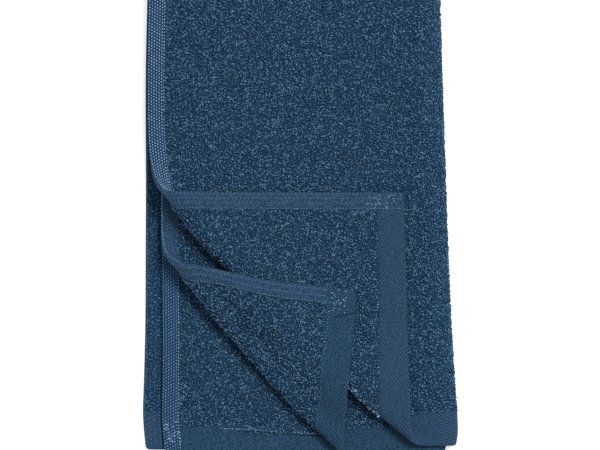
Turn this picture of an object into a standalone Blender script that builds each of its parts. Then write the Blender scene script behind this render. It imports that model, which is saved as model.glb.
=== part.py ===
"""A terry fingertip towel with plain woven hems, lying folded in half both ways.

The cloth is one piece. It is folded crosswise over its far end and then lengthwise over its
right side, which gives four layers, and the near left corners of the two upper layers are
turned back over rolls that are wider at the stiff hems. The flat sheet is cut along its
creases and every point is then carried through the folds.

Sizes are in millimetres and become metres where the mesh is made. X runs across the folded
towel, Y along it towards the crosswise fold, and Z up from the surface that it lies on.
"""

import math
from collections import namedtuple

import bmesh
import bpy
import numpy as np

MM = 0.001

# The sheet laid flat: across is measured from its middle line, along from its outer end
LENGTH = 457.0
OUTER_LENGTH = 222.7
TERRY = 3.0
HEM = 2.3
SIDE_HEM = 8.0
END_HEM = 15.0
HEM_STEP = 1.6

Edge = namedtuple("Edge", "along upper under")
EDGES = (
    Edge(along=0.0, upper=134.9, under=135.9),
    Edge(along=200.0, upper=134.9, under=135.9),
    Edge(along=OUTER_LENGTH, upper=134.2, under=135.0),
    Edge(along=258.0, upper=130.1, under=130.0),
    Edge(along=290.0, upper=129.7, under=129.5),
    Edge(along=355.0, upper=129.5, under=129.0),
    Edge(along=378.0, upper=129.1, under=128.7),
    Edge(along=430.0, upper=127.9, under=127.3),
    Edge(along=LENGTH, upper=127.6, under=127.2),
)

# How wide each end hem is turned in, which varies along it
HemWidth = namedtuple("HemWidth", "across outer inner")
HEM_WIDTHS = (
    HemWidth(across=-135.0, outer=11.7, inner=13.0),
    HemWidth(across=-60.0, outer=12.2, inner=13.2),
    HemWidth(across=-30.0, outer=13.0, inner=14.8),
    HemWidth(across=-4.0, outer=16.3, inner=15.0),
    HemWidth(across=40.0, outer=16.9, inner=15.0),
    HemWidth(across=136.0, outer=17.0, inner=15.0),
)
HEM_BLEND = 60.0

# The folded stack: the step from one layer's middle to the next, and its two folds
PITCH = 3.6
CROSS_RADIUS = PITCH / 2
CROSS_ARC = math.pi * CROSS_RADIUS
SIDE_RADIUS = PITCH
SIDE_ARC = math.pi * SIDE_RADIUS / 2
FOLDED_WIDTH = 137.2
OUTER_RADIUS = 1.5 * PITCH + TERRY / 2
SIDE_AXIS = FOLDED_WIDTH - OUTER_RADIUS
MIDDLE_HEIGHT = OUTER_RADIUS
UPPER_LAYER = MIDDLE_HEIGHT + SIDE_RADIUS + CROSS_RADIUS
SECOND_LAYER = UPPER_LAYER - PITCH

# The outline of the folded towel, which widens most at its side fold, and how far its stack
# sinks where the thin end hems lie
WIDENING = 5
Outline = namedtuple("Outline", "y left right sink")
OUTLINE = (
    Outline(y=-6.0, left=0.2, right=142.9, sink=0.80),
    Outline(y=2.0, left=-0.7, right=145.3, sink=0.80),
    Outline(y=16.3, left=-1.6, right=145.5, sink=0.86),
    Outline(y=26.5, left=-1.2, right=144.7, sink=0.97),
    Outline(y=54.4, left=-0.2, right=142.9, sink=1.0),
    Outline(y=96.0, left=0.5, right=141.0, sink=1.0),
    Outline(y=124.0, left=0.8, right=140.0, sink=1.0),
    Outline(y=166.0, left=0.4, right=138.6, sink=1.0),
    Outline(y=226.0, left=0.0, right=136.8, sink=1.0),
)

# A corner turned back: where it lay, the way back from it, and how far it lands from there.
# A roll rises over one radius and returns over another, from the side hem to the end hem.
# Its loose flap slips aside and back a little between its roll and where it has settled.
TurnBack = namedtuple("TurnBack", "corner_x corner_y heading landing slip_x slip_y rolls")
Roll = namedtuple("Roll", "share rising returning")
UPPER_TURN = TurnBack(
    corner_x=1.05,
    corner_y=0.0,
    heading=45.15,
    landing=166.6,
    slip_x=0.0,
    slip_y=0.0,
    rolls=(
        Roll(share=0.00, rising=9.6, returning=5.0),
        Roll(share=0.07, rising=7.6, returning=4.6),
        Roll(share=0.20, rising=3.7, returning=3.4),
        Roll(share=0.45, rising=2.9, returning=2.9),
        Roll(share=0.75, rising=3.0, returning=3.0),
        Roll(share=0.90, rising=3.8, returning=3.8),
        Roll(share=1.00, rising=4.6, returning=4.8),
    ),
)
SECOND_TURN = TurnBack(
    corner_x=8.35,
    corner_y=-5.95,
    heading=42.3,
    landing=121.5,
    slip_x=-0.8,
    slip_y=-3.0,
    rolls=(
        Roll(share=0.00, rising=6.4, returning=6.2),
        Roll(share=0.10, rising=5.4, returning=5.2),
        Roll(share=0.28, rising=3.6, returning=3.5),
        Roll(share=0.75, rising=3.3, returning=3.3),
        Roll(share=0.90, rising=4.2, returning=4.2),
        Roll(share=1.00, rising=5.4, returning=5.4),
    ),
)
SETTLE = 30.0
RUN_UP = 20.0
EASE_IN = 10.0

# Where the stiff side hem of a layer curves into its roll, it is pulled in a little
Pull = namedtuple("Pull", "x y reach right far")
UPPER_PULL = Pull(x=9.0, y=121.0, reach=17.0, right=1.9, far=0.2)
SECOND_PULL = Pull(x=13.0, y=76.0, reach=12.0, right=0.3, far=0.1)

# The lowest layer's near left corner reaches a little further out
CORNER_REACH = 1.9
CORNER_REACH_FADE = 60.0

# The upper layer's free left edge hangs a little over the narrower layers inside, less near
# the crosswise fold, which holds it up
OVERHANG = 14.0
DROOP = 1.8
DROOP_FADE = 70.0

# How finely the sheet is cut
BODY_STEP = 19.0
CROSS_STEPS = 8
SIDE_STEPS = 12
ROLL_STEPS = 8
ROLL_END_STEP = 2.6
SETTLE_STEPS = 4
SNAP = 0.4
SHARP_ANGLE = 50.0

COLOUR = "2F4C68"
ROUGHNESS = 0.95


def eased(share):
    """A soft step from 0 to 1."""
    share = np.clip(share, 0.0, 1.0)
    return share * share * (3.0 - 2.0 * share)


def curve(rows, column, where):
    """A table's column on a smooth curve through its rows, whose first column says where."""
    at = np.array([row[0] for row in rows])
    value = np.array([getattr(row, column) for row in rows])
    slope = np.gradient(value, at)
    where = np.clip(where, at[0], at[-1])
    row = np.clip(np.searchsorted(at, where) - 1, 0, len(at) - 2)
    step = at[row + 1] - at[row]
    t = (where - at[row]) / step
    ends = (1.0 + 2.0 * t) * (1.0 - t) ** 2 * value[row] + t * t * (3.0 - 2.0 * t) * value[row + 1]
    slopes = t * (1.0 - t) ** 2 * slope[row] - t * t * (1.0 - t) * slope[row + 1]
    return ends + step * slopes


def past_end_hem(across, along):
    """How far a place is beyond the hem of the nearer end."""
    outer = along - curve(HEM_WIDTHS, "outer", across)
    inner = LENGTH - along - curve(HEM_WIDTHS, "inner", across)
    return np.minimum(outer, inner)


def thickness(across, along):
    """Terry in the body of the sheet, thinner in its side and end hems."""
    edge = np.where(across < 0.0, curve(EDGES, "upper", along), curve(EDGES, "under", along))
    side = eased((edge - np.abs(across) - SIDE_HEM) / HEM_STEP)
    end = eased(past_end_hem(across, along) / HEM_STEP)
    return HEM + (TERRY - HEM) * side * end


def fold_crosswise(along, up):
    """The sheet goes over the far end and comes back under itself."""
    radius = CROSS_RADIUS + up
    turn = np.clip((along - OUTER_LENGTH) / CROSS_RADIUS, 0.0, math.pi)
    back = np.maximum(along - OUTER_LENGTH - CROSS_ARC, 0.0)
    y = np.minimum(along, OUTER_LENGTH) + radius * np.sin(turn) - back
    return y, radius * np.cos(turn)


def fold_lengthwise(across, up):
    """Both halves together go round the right side, the outer half outside."""
    radius = SIDE_RADIUS + up
    turn = np.clip(math.pi / 2 + across / SIDE_RADIUS, 0.0, math.pi)
    flat = np.maximum(np.abs(across) - SIDE_ARC, 0.0)
    x = SIDE_AXIS - flat + radius * np.sin(turn)
    return x, MIDDLE_HEIGHT + radius * np.cos(turn)


def crease(turn, x, y):
    """Where a place lies on a turned corner's own axes, with the two radii of its roll."""
    ex, ey = math.cos(math.radians(turn.heading)), math.sin(math.radians(turn.heading))
    back = (x - turn.corner_x) * ex + (y - turn.corner_y) * ey
    beside = (x - turn.corner_x) * ey - (y - turn.corner_y) * ex
    share = 0.5 + beside / turn.landing
    rising = curve(turn.rolls, "rising", share)
    returning = curve(turn.rolls, "returning", share)
    arc = math.pi / 2 * (rising + returning)
    start = (turn.landing + rising - returning + arc) / 2
    return back, beside, rising, returning, start


def flap_height(beyond, rising, returning, rest):
    """A flap leaves its roll at the roll's full height and settles on what lies below it."""
    top = rising + returning
    return top + (rest - top) * eased(beyond / SETTLE)


def turn_back(turn, x, y, up, height):
    """Rolls a corner up and back over its layer. height() says how high its flap then lies."""
    back, beside, rising, returning, start = crease(turn, x, y)
    past = start - back
    first = np.clip(past / rising, 0.0, math.pi / 2)
    second = np.clip((past - math.pi / 2 * rising) / returning, 0.0, math.pi / 2)
    beyond = np.maximum(past - math.pi / 2 * (rising + returning), 0.0)
    angle = first + second
    rolled = start - rising * np.sin(first) + returning * (1.0 - np.cos(second)) + beyond
    rolled = np.where(past > 0.0, rolled, back) + up * np.sin(angle)
    lift = rising * (1.0 - np.cos(first)) + returning * np.sin(second)
    ex, ey = math.cos(math.radians(turn.heading)), math.sin(math.radians(turn.heading))
    new_x = turn.corner_x + rolled * ex + beside * ey
    new_y = turn.corner_y + rolled * ey - beside * ex
    laid = height(new_x, new_y, beyond, rising, returning)
    lift = np.where(beyond > 0.0, laid, lift)
    slipped = eased(beyond / SETTLE)
    new_x, new_y = new_x + turn.slip_x * slipped, new_y + turn.slip_y * slipped
    return new_x, new_y, lift + up * np.cos(angle)


def on_upper_layer(x, y, beyond, rising, returning):
    """The upper flap lies on the upper layer."""
    return flap_height(beyond, rising, returning, PITCH)


def over_upper_flap(x, y, beyond, rising, returning):
    """The second flap climbs over the upper roll and lies on the upper flap."""
    back, _, first_rising, first_returning, start = crease(UPPER_TURN, x, y)
    past_roll = back - (start - first_rising + first_returning)
    upper_flap = flap_height(past_roll, first_rising, first_returning, PITCH)
    top = rising + returning
    silhouette = first_returning + TERRY / 2
    climb = eased((past_roll + silhouette + RUN_UP) / RUN_UP) * eased(beyond / EASE_IN)
    return top + (upper_flap + 2.0 * PITCH - top) * climb


def folded(across, along, up):
    """Carries points of the flat sheet to their places on the folded towel."""
    y, level = fold_crosswise(along, up)
    x, z = fold_lengthwise(across, level)
    upper_side = across < -SIDE_ARC
    upper = upper_side & (along < OUTER_LENGTH)
    second = upper_side & (along > OUTER_LENGTH + CROSS_ARC)
    back, _, _, _, start = crease(UPPER_TURN, x, y)
    near_edge = np.clip(1.0 - x / OVERHANG, 0.0, 1.0) ** 2
    free = eased((back - start) / SETTLE) * eased((OUTER_LENGTH - y) / DROOP_FADE)
    droop = np.where(upper, DROOP * near_edge * free, 0.0)
    layers = (
        (upper, UPPER_TURN, UPPER_LAYER, on_upper_layer, UPPER_PULL),
        (second, SECOND_TURN, SECOND_LAYER, over_upper_flap, SECOND_PULL),
    )
    for here, turn, layer, height, pull in layers:
        turned = turn_back(turn, x[here], y[here], z[here] - layer, height)
        away = ((turned[0] - pull.x) ** 2 + (turned[1] - pull.y) ** 2) / pull.reach**2
        pulled = np.exp(-away)
        x[here], y[here] = turned[0] + pull.right * pulled, turned[1] + pull.far * pulled
        z[here] = turned[2] + layer
    lowest = (across > SIDE_ARC) & (along < OUTER_LENGTH)
    out = eased(across / EDGES[0].under) * np.clip(1.0 - y / CORNER_REACH_FADE, 0.0, 1.0)
    y = y - np.where(lowest, CORNER_REACH * out, 0.0)
    z = z - droop - (TERRY - thickness(across, along)) / 2
    share = np.clip(x / FOLDED_WIDTH, 0.0, 1.0)
    left = curve(OUTLINE, "left", y) * (1.0 - share)
    right = (curve(OUTLINE, "right", y) - FOLDED_WIDTH) * share**WIDENING
    return np.stack((x + left + right, y, z * curve(OUTLINE, "sink", y)), 1)


def rows_along():
    """The cuts across the sheet, close together where it folds crosswise."""
    near = END_HEM + HEM_STEP
    far = LENGTH - near
    fold_end = OUTER_LENGTH + CROSS_ARC
    outer = np.linspace(near, OUTER_LENGTH, round((OUTER_LENGTH - near) / BODY_STEP) + 1)
    arc = np.linspace(OUTER_LENGTH, fold_end, CROSS_STEPS + 1)[1:]
    inner = np.linspace(fold_end, far, round((far - fold_end) / BODY_STEP) + 1)[1:]
    return [0.0, END_HEM, *outer, *arc, *inner, LENGTH - END_HEM, LENGTH]


def beside_hems(across, along):
    """Where a cut of the sheet lies at one place, moved with the end hem beside it."""
    moved = along
    for column, from_end, way in (("outer", along, 1.0), ("inner", LENGTH - along, -1.0)):
        wider = float(curve(HEM_WIDTHS, column, np.array([across]))[0]) - END_HEM
        beyond = max(from_end - END_HEM - HEM_STEP, 0.0)
        share = min(from_end / END_HEM, 1.0) * max(1.0 - beyond / HEM_BLEND, 0.0)
        moved += way * wider * share
    return moved


def columns_across(along):
    """The cuts along the sheet at one row, close together where it folds lengthwise."""
    halves = []
    for side in ("upper", "under"):
        edge = float(curve(EDGES, side, np.array([along]))[0])
        body = edge - SIDE_HEM - HEM_STEP
        count = round((EDGES[0].under - SIDE_HEM - SIDE_ARC) / BODY_STEP)
        halves.append([*np.linspace(SIDE_ARC, body, count + 1), edge - SIDE_HEM, edge])
    bend = np.linspace(-SIDE_ARC, SIDE_ARC, SIDE_STEPS + 1)[1:-1]
    return [-distance for distance in reversed(halves[0])] + [*bend] + halves[1]


def crease_distances(turn):
    """How far from the corner the sheet is cut along a crease and where its flap settles."""
    middle = turn.rolls[len(turn.rolls) // 2]
    arc = math.pi / 2 * (middle.rising + middle.returning)
    start = (turn.landing + middle.rising - middle.returning + arc) / 2
    first = turn.rolls[0]
    reach = math.pi / 4 * (first.rising + first.returning) - arc / 2 + ROLL_END_STEP
    tight = [*np.linspace(start - arc, start, ROLL_STEPS + 1)]
    outside = np.arange(ROLL_END_STEP, reach, ROLL_END_STEP)
    settle = np.linspace(0.0, SETTLE, SETTLE_STEPS + 1)[1:] + reach
    wide = [start + step for step in outside] + [start - arc - step for step in outside]
    return tight + wide + [start - arc - step for step in settle]


def cut_creases(flat, turn, shift_x, turn_y, inside):
    """Cuts the flat sheet along one turned corner's creases, in the layer that inside names."""
    ex, ey = math.cos(math.radians(turn.heading)), math.sin(math.radians(turn.heading))
    way_y = -1.0 if turn_y else 1.0
    for distance in crease_distances(turn):
        x = turn.corner_x + distance * ex - shift_x
        y = turn.corner_y + distance * ey
        faces = [face for face in flat.faces if inside(face.calc_center_median())]
        edges = {edge for face in faces for edge in face.edges}
        points = {point for face in faces for point in face.verts}
        bmesh.ops.bisect_plane(
            flat,
            geom=[*points, *edges, *faces],
            dist=SNAP,
            plane_co=(x, turn_y - y if turn_y else y, 0.0),
            plane_no=(ex, way_y * ey, 0.0),
        )


def flat_sheet():
    """The flat sheet as triangles, cut where it folds."""
    flat = bmesh.new()
    grid = []
    for along in rows_along():
        row = [(across, beside_hems(across, along), 0.0) for across in columns_across(along)]
        grid.append([flat.verts.new(place) for place in row])
    for near, far in zip(grid, grid[1:]):
        for column in range(len(near) - 1):
            flat.faces.new((near[column], near[column + 1], far[column + 1], far[column]))
    shift_x = SIDE_AXIS + SIDE_ARC
    fold_end = OUTER_LENGTH + CROSS_ARC
    cut_creases(
        flat, UPPER_TURN, shift_x, 0.0, lambda at: at.x < -SIDE_ARC and at.y < OUTER_LENGTH
    )
    cut_creases(
        flat,
        SECOND_TURN,
        shift_x,
        OUTER_LENGTH + fold_end,
        lambda at: at.x < -SIDE_ARC and at.y > fold_end,
    )
    bmesh.ops.triangulate(flat, faces=flat.faces[:])
    flat.verts.index_update()
    return flat


def towel_mesh(name):
    """The folded towel as one closed solid: both faces of the cloth, joined at its edges."""
    flat = flat_sheet()
    places = np.array([point.co[:2] for point in flat.verts])
    across, along = places[:, 0], places[:, 1]
    half = thickness(across, along) / 2
    points = np.concatenate((folded(across, along, half), folded(across, along, -half)))
    low, high = points.min(axis=0), points.max(axis=0)
    points -= ((low[0] + high[0]) / 2, (low[1] + high[1]) / 2, low[2])
    count = len(places)
    faces = []
    for face in flat.faces:
        a, b, c = (point.index for point in face.verts)
        faces += [(a, b, c), (c + count, b + count, a + count)]
        for loop in face.loops:
            if loop.edge.is_boundary:
                start, end = loop.vert.index, loop.link_loop_next.vert.index
                faces += [(end, start, start + count), (end, start + count, end + count)]
    flat.free()
    mesh = bpy.data.meshes.new(name)
    mesh.from_pydata((np.round(points, 4) * MM).tolist(), [], faces)
    mesh.shade_smooth()
    mesh.set_sharp_from_angle(angle=math.radians(SHARP_ANGLE))
    return mesh


def linear(hex_colour):
    """An sRGB hex colour as linear red, green, blue and alpha."""
    channels = [int(hex_colour[place : place + 2], 16) / 255 for place in (0, 2, 4)]
    values = [c / 12.92 if c <= 0.04045 else ((c + 0.055) / 1.055) ** 2.4 for c in channels]
    return (*values, 1.0)


def terry_cotton():
    """Dyed cotton terry: no shine at all."""
    material = bpy.data.materials.new("terry_cotton")
    material.use_nodes = True
    shader = material.node_tree.nodes["Principled BSDF"]
    shader.inputs["Base Color"].default_value = linear(COLOUR)
    shader.inputs["Roughness"].default_value = ROUGHNESS
    shader.inputs["Metallic"].default_value = 0.0
    return material


def main():
    for thing in list(bpy.data.objects):
        bpy.data.objects.remove(thing)
    towel = bpy.data.objects.new("towel", towel_mesh("towel"))
    towel.data.materials.append(terry_cotton())
    bpy.context.collection.objects.link(towel)


main()
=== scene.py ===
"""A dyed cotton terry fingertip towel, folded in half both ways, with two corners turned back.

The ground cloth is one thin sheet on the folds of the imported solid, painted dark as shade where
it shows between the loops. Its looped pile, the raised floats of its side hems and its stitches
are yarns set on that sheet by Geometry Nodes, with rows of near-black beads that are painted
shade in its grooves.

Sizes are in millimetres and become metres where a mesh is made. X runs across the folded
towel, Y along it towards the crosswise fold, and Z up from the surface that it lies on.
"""

import math
from collections import namedtuple

import bmesh
import bpy
import numpy as np
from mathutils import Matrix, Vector
from mathutils.bvhtree import BVHTree


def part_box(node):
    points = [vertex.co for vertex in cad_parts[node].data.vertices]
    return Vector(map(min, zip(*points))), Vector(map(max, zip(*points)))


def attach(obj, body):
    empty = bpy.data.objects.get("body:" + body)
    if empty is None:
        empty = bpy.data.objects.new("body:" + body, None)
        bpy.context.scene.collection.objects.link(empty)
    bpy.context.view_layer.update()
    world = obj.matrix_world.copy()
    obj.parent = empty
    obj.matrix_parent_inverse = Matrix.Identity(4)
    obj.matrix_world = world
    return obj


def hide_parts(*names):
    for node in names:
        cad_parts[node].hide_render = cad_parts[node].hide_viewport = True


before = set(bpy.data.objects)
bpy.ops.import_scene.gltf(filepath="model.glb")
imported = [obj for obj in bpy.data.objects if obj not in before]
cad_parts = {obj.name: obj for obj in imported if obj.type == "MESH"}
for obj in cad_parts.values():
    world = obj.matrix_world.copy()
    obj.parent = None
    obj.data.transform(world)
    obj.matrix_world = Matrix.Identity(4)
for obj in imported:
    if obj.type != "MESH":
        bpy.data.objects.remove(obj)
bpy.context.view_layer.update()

MM = 0.001

# The sheet laid flat: across is measured from its middle line, along from its outer end
LENGTH = 457.0
OUTER_LENGTH = 222.7
TERRY = 3.0
HEM = 2.3
SIDE_HEM = 8.0
END_HEM = 15.0
HEM_STEP = 1.6

Edge = namedtuple("Edge", "along upper under")
EDGES = (
    Edge(0.0, 134.9, 135.9),
    Edge(200.0, 134.9, 135.9),
    Edge(OUTER_LENGTH, 134.2, 135.0),
    Edge(258.0, 130.1, 130.0),
    Edge(290.0, 129.7, 129.5),
    Edge(355.0, 129.5, 129.0),
    Edge(378.0, 129.1, 128.7),
    Edge(430.0, 127.9, 127.3),
    Edge(LENGTH, 127.6, 127.2),
)

# How wide each end hem is turned in, which varies along it
HemWidth = namedtuple("HemWidth", "across outer inner")
HEM_WIDTHS = (
    HemWidth(-135.0, 11.7, 13.0),
    HemWidth(-60.0, 12.2, 13.2),
    HemWidth(-30.0, 13.0, 14.8),
    HemWidth(-4.0, 16.3, 15.0),
    HemWidth(40.0, 16.9, 15.0),
    HemWidth(136.0, 17.0, 15.0),
)
HEM_BLEND = 60.0

# The folded stack: the step from one layer's middle to the next, and its two folds
PITCH = 3.6
CROSS_RADIUS = PITCH / 2
CROSS_ARC = math.pi * CROSS_RADIUS
FOLD_END = OUTER_LENGTH + CROSS_ARC
MIDWAY = OUTER_LENGTH + CROSS_ARC / 2
SIDE_RADIUS = PITCH
SIDE_ARC = math.pi * SIDE_RADIUS / 2
FOLDED_WIDTH = 137.2
OUTER_RADIUS = 1.5 * PITCH + TERRY / 2
SIDE_AXIS = FOLDED_WIDTH - OUTER_RADIUS
MIDDLE_HEIGHT = OUTER_RADIUS
UPPER_LAYER = MIDDLE_HEIGHT + SIDE_RADIUS + CROSS_RADIUS
SECOND_LAYER = UPPER_LAYER - PITCH

# The outline of the folded towel, which widens most at its side fold, and how far its stack
# sinks where the thin end hems lie
WIDENING = 5
Outline = namedtuple("Outline", "y left right sink")
OUTLINE = (
    Outline(-6.0, 0.2, 142.9, 0.80),
    Outline(2.0, -0.7, 145.3, 0.80),
    Outline(16.3, -1.6, 145.5, 0.86),
    Outline(26.5, -1.2, 144.7, 0.97),
    Outline(54.4, -0.2, 142.9, 1.0),
    Outline(96.0, 0.5, 141.0, 1.0),
    Outline(124.0, 0.8, 140.0, 1.0),
    Outline(166.0, 0.4, 138.6, 1.0),
    Outline(226.0, 0.0, 136.8, 1.0),
)

# A corner turned back: where it lay, the way back from it, and how far it lands from there.
# A roll rises over one radius and returns over another, from the side hem to the end hem.
# Its loose flap slips aside and back a little between its roll and where it has settled.
TurnBack = namedtuple("TurnBack", "corner_x corner_y heading landing slip_x slip_y rolls")
Roll = namedtuple("Roll", "share rising returning")
UPPER_TURN = TurnBack(
    corner_x=1.05,
    corner_y=0.0,
    heading=45.15,
    landing=166.6,
    slip_x=0.0,
    slip_y=0.0,
    rolls=(
        Roll(0.00, 9.6, 5.0),
        Roll(0.07, 7.6, 4.6),
        Roll(0.20, 3.7, 3.4),
        Roll(0.45, 2.9, 2.9),
        Roll(0.75, 3.0, 3.0),
        Roll(0.90, 3.8, 3.8),
        Roll(1.00, 4.6, 4.8),
    ),
)
SECOND_TURN = TurnBack(
    corner_x=8.35,
    corner_y=-5.95,
    heading=42.3,
    landing=121.5,
    slip_x=-0.8,
    slip_y=-3.0,
    rolls=(
        Roll(0.00, 6.4, 6.2),
        Roll(0.10, 5.4, 5.2),
        Roll(0.28, 3.6, 3.5),
        Roll(0.75, 3.3, 3.3),
        Roll(0.90, 4.2, 4.2),
        Roll(1.00, 5.4, 5.4),
    ),
)
SETTLE = 30.0
CREASE_EASE = 8.0
RUN_UP = 20.0
EASE_IN = 10.0

# Where the stiff side hem of a layer curves into its roll, it is pulled in a little
Pull = namedtuple("Pull", "x y reach right far")
UPPER_PULL = Pull(x=9.0, y=121.0, reach=17.0, right=1.9, far=0.2)
SECOND_PULL = Pull(x=13.0, y=76.0, reach=12.0, right=0.3, far=0.1)

# The lowest layer's near left corner reaches a little further out
CORNER_REACH = 1.9
CORNER_REACH_FADE = 60.0

# The upper layer's free left edge hangs a little over the narrower layers inside, less near
# the crosswise fold, which holds it up
OVERHANG = 14.0
DROOP = 1.8
DROOP_FADE = 70.0

# The cloth without its loops: a thin ground, and hems turned in, with soft edges
GROUND = 1.5
HEM_CLOTH = 2.2
HEM_FOOT = 0.7
EDGE_ROUND = 1.1
EDGE_CUTS = (0.0, 0.15, 0.5, EDGE_ROUND)
EDGE_SHARE = 0.12

# How finely the sheet is cut
BODY_STEP = 3.3
CROSS_STEPS = 12
SIDE_STEPS = 20
ROLL_STEP = 0.9
ROLL_END_STEP = 1.6
SNAP = 0.05

# The sheet's corners are a little round, those of its inner end more than the outer ones
OUTER_CORNERS = 2.0
INNER_CORNERS = 4.5

# Soft pressed creases, given one by one: the middle, the way along it, its half length and half
# width, how far it rises or, below zero, sinks, on the part of the cloth that it is in
Crease = namedtuple("Crease", "part x y heading length width rise")
CREASES = (
    Crease("upper_flap", 110.3, 93.5, 28.0, 5.5, 1.3, -0.8),
    Crease("upper_flap", 113.0, 91.5, 28.0, 4.5, 1.2, 0.5),
    Crease("upper_flap", 112.0, 60.0, 4.0, 5.0, 1.0, -0.35),
    Crease("upper_flap", 112.0, 38.0, -12.0, 6.0, 1.6, -0.4),
    Crease("upper_flap", 62.0, 108.0, 12.0, 14.0, 4.0, 0.5),
    Crease("upper_flap", 86.0, 98.0, -35.0, 16.0, 4.5, -0.5),
    Crease("upper_flap", 60.0, 84.0, -40.0, 20.0, 4.0, 0.5),
    Crease("upper_layer", 124.0, 65.0, 40.0, 5.0, 1.8, -0.6),
    Crease("upper_layer", 70.0, 150.0, 10.0, 30.0, 6.0, -0.4),
    Crease("upper_layer", 30.0, 170.0, -70.0, 26.0, 6.0, -0.4),
    Crease("upper_layer", 100.0, 180.0, 55.0, 24.0, 6.0, 0.4),
    Crease("second_flap", 92.6, 63.0, 10.0, 6.5, 0.7, -0.9),
    Crease("second_flap", 60.0, 50.0, -42.0, 16.0, 4.0, -0.5),
    Crease("second_flap", 40.0, 72.0, -35.0, 14.0, 4.0, 0.5),
    Crease("second_flap", 86.0, 30.0, 15.0, 7.0, 2.0, -0.4),
    Crease("inner_layer", 44.0, 6.0, 60.0, 5.0, 1.5, -0.5),
    Crease("inner_layer", 30.0, 34.0, -60.0, 12.0, 4.0, -0.4),
)

# The loops of the pile, which are pressed short on the underside, and the most on a square metre
LOOP_SPACING = 0.9
UNDERSIDE_SPACING = 1.5
LOOP_WIDTH = 1.3
LOOP_HEIGHT = 1.1
PRESSED_HEIGHT = 0.35
PILE_YARN = 0.56
LOOP_BENDS = 3
MOST_LOOPS = 4.0e6

# Where they grow: on cloth that sees enough of the sky, on a strip beside the lowest layer's
# edge, past the inner end hem's border on one stretch, and in a row of their own at the fold
LEAST_OPEN = 0.12
STRIP_MARGIN = 1.2
SEAM_FROM = 45.0
SEAM_TO = 88.0
SEAM_REACH = 3.3
FOLD_MARGIN = 2.0

# The rays that look for the sky: how many, how steep, and where they start and end
SKY_RAYS = 20
LOWEST_RAY = 0.06
RAY_SPREAD = 0.92
RAY_START = 0.9
RAY_REACH = 60.0 * MM

# The size of one fibre bundle's speckle, the span of its noise that counts, and the step that
# tells which way a yarn lies
GRAIN = 0.55
NOISE_RANGE = (0.32, 0.68)
NUDGE = 0.1

# The raised floats and the stitches of the side hems: their rows, and where they start and stop
FLOAT_ROWS = (0.5, 1.7, 2.9, 4.1, 5.3, 6.5)
FLOAT_PITCH = 1.44
FLOAT_SHIFT = 0.6
FIRST_FLOAT = 1.0
STITCH_PITCH = 1.5
FIRST_STITCH = 2.0
CORNER_BLOCK = 13.5
UNDER_FLAP = 60.0
UPPER_SIDE = (-1.0,)
UNDER_SIDE = (1.0,)
BOTH_SIDES = UPPER_SIDE + UNDER_SIDE

# The photograph: its frame at the towel, and the camera straight above it
FRAME_WIDTH = 279.07
VIEW_CENTRE = (-0.25, -7.0)
VIEW_HEIGHT = 12.0
CAMERA_DISTANCE = 4000.0
SENSOR = 36.0


def eased(share):
    """A soft step from 0 to 1."""
    share = np.clip(share, 0.0, 1.0)
    return share * share * (3.0 - 2.0 * share)


def direction(heading):
    """The steps to the right and away that go along a heading in degrees."""
    return math.cos(math.radians(heading)), math.sin(math.radians(heading))


def curve(rows, column, where):
    """A table's column on a smooth curve through its rows, whose first column says where."""
    at = np.array([row[0] for row in rows])
    value = np.array([getattr(row, column) for row in rows])
    slope = np.gradient(value, at)
    where = np.clip(where, at[0], at[-1])
    row = np.clip(np.searchsorted(at, where) - 1, 0, len(at) - 2)
    step = at[row + 1] - at[row]
    t = (where - at[row]) / step
    ends = (1.0 + 2.0 * t) * (1.0 - t) ** 2 * value[row] + t * t * (3.0 - 2.0 * t) * value[row + 1]
    slopes = t * (1.0 - t) ** 2 * slope[row] - t * t * (1.0 - t) * slope[row + 1]
    return ends + step * slopes


def side_edge(across, along):
    """The distance of the sheet's side edge from its middle line, on the side asked for."""
    return np.where(across < 0.0, curve(EDGES, "upper", along), curve(EDGES, "under", along))


def from_edges(across, along):
    """How far a place is from the nearer side edge and from the nearer end."""
    return side_edge(across, along) - np.abs(across), np.minimum(along, LENGTH - along)


def past_end_hem(across, along):
    """How far a place is beyond the hem of the nearer end."""
    outer = along - curve(HEM_WIDTHS, "outer", across)
    inner = LENGTH - along - curve(HEM_WIDTHS, "inner", across)
    return np.minimum(outer, inner)


def thickness(across, along):
    """The solid's thickness: terry in the body of the sheet, thinner in its hems."""
    side = from_edges(across, along)[0]
    end = past_end_hem(across, along)
    body = eased((side - SIDE_HEM) / HEM_STEP) * eased(end / HEM_STEP)
    return HEM + (TERRY - HEM) * body


def cloth_thickness(across, along):
    """The woven cloth's own thickness, which is rounded off at the sheet's edges."""
    side, end = from_edges(across, along)
    past_hem = past_end_hem(across, along)
    body = eased((side - SIDE_HEM) / HEM_FOOT) * eased(past_hem / HEM_FOOT)
    depth = np.clip(np.minimum(side, end) / EDGE_ROUND, 0.0, 1.0)
    rounded = EDGE_SHARE + (1.0 - EDGE_SHARE) * np.sqrt(1.0 - (1.0 - depth) ** 2)
    return (HEM_CLOTH + (GROUND - HEM_CLOTH) * body) * rounded


def fold_crosswise(along, up):
    """The sheet goes over the far end and comes back under itself."""
    radius = CROSS_RADIUS + up
    turn = np.clip((along - OUTER_LENGTH) / CROSS_RADIUS, 0.0, math.pi)
    back = np.maximum(along - OUTER_LENGTH - CROSS_ARC, 0.0)
    y = np.minimum(along, OUTER_LENGTH) + radius * np.sin(turn) - back
    return y, radius * np.cos(turn)


def fold_lengthwise(across, up):
    """Both halves together go round the right side, the outer half outside."""
    radius = SIDE_RADIUS + up
    turn = np.clip(math.pi / 2 + across / SIDE_RADIUS, 0.0, math.pi)
    flat = np.maximum(np.abs(across) - SIDE_ARC, 0.0)
    x = SIDE_AXIS - flat + radius * np.sin(turn)
    return x, MIDDLE_HEIGHT + radius * np.cos(turn)


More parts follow.
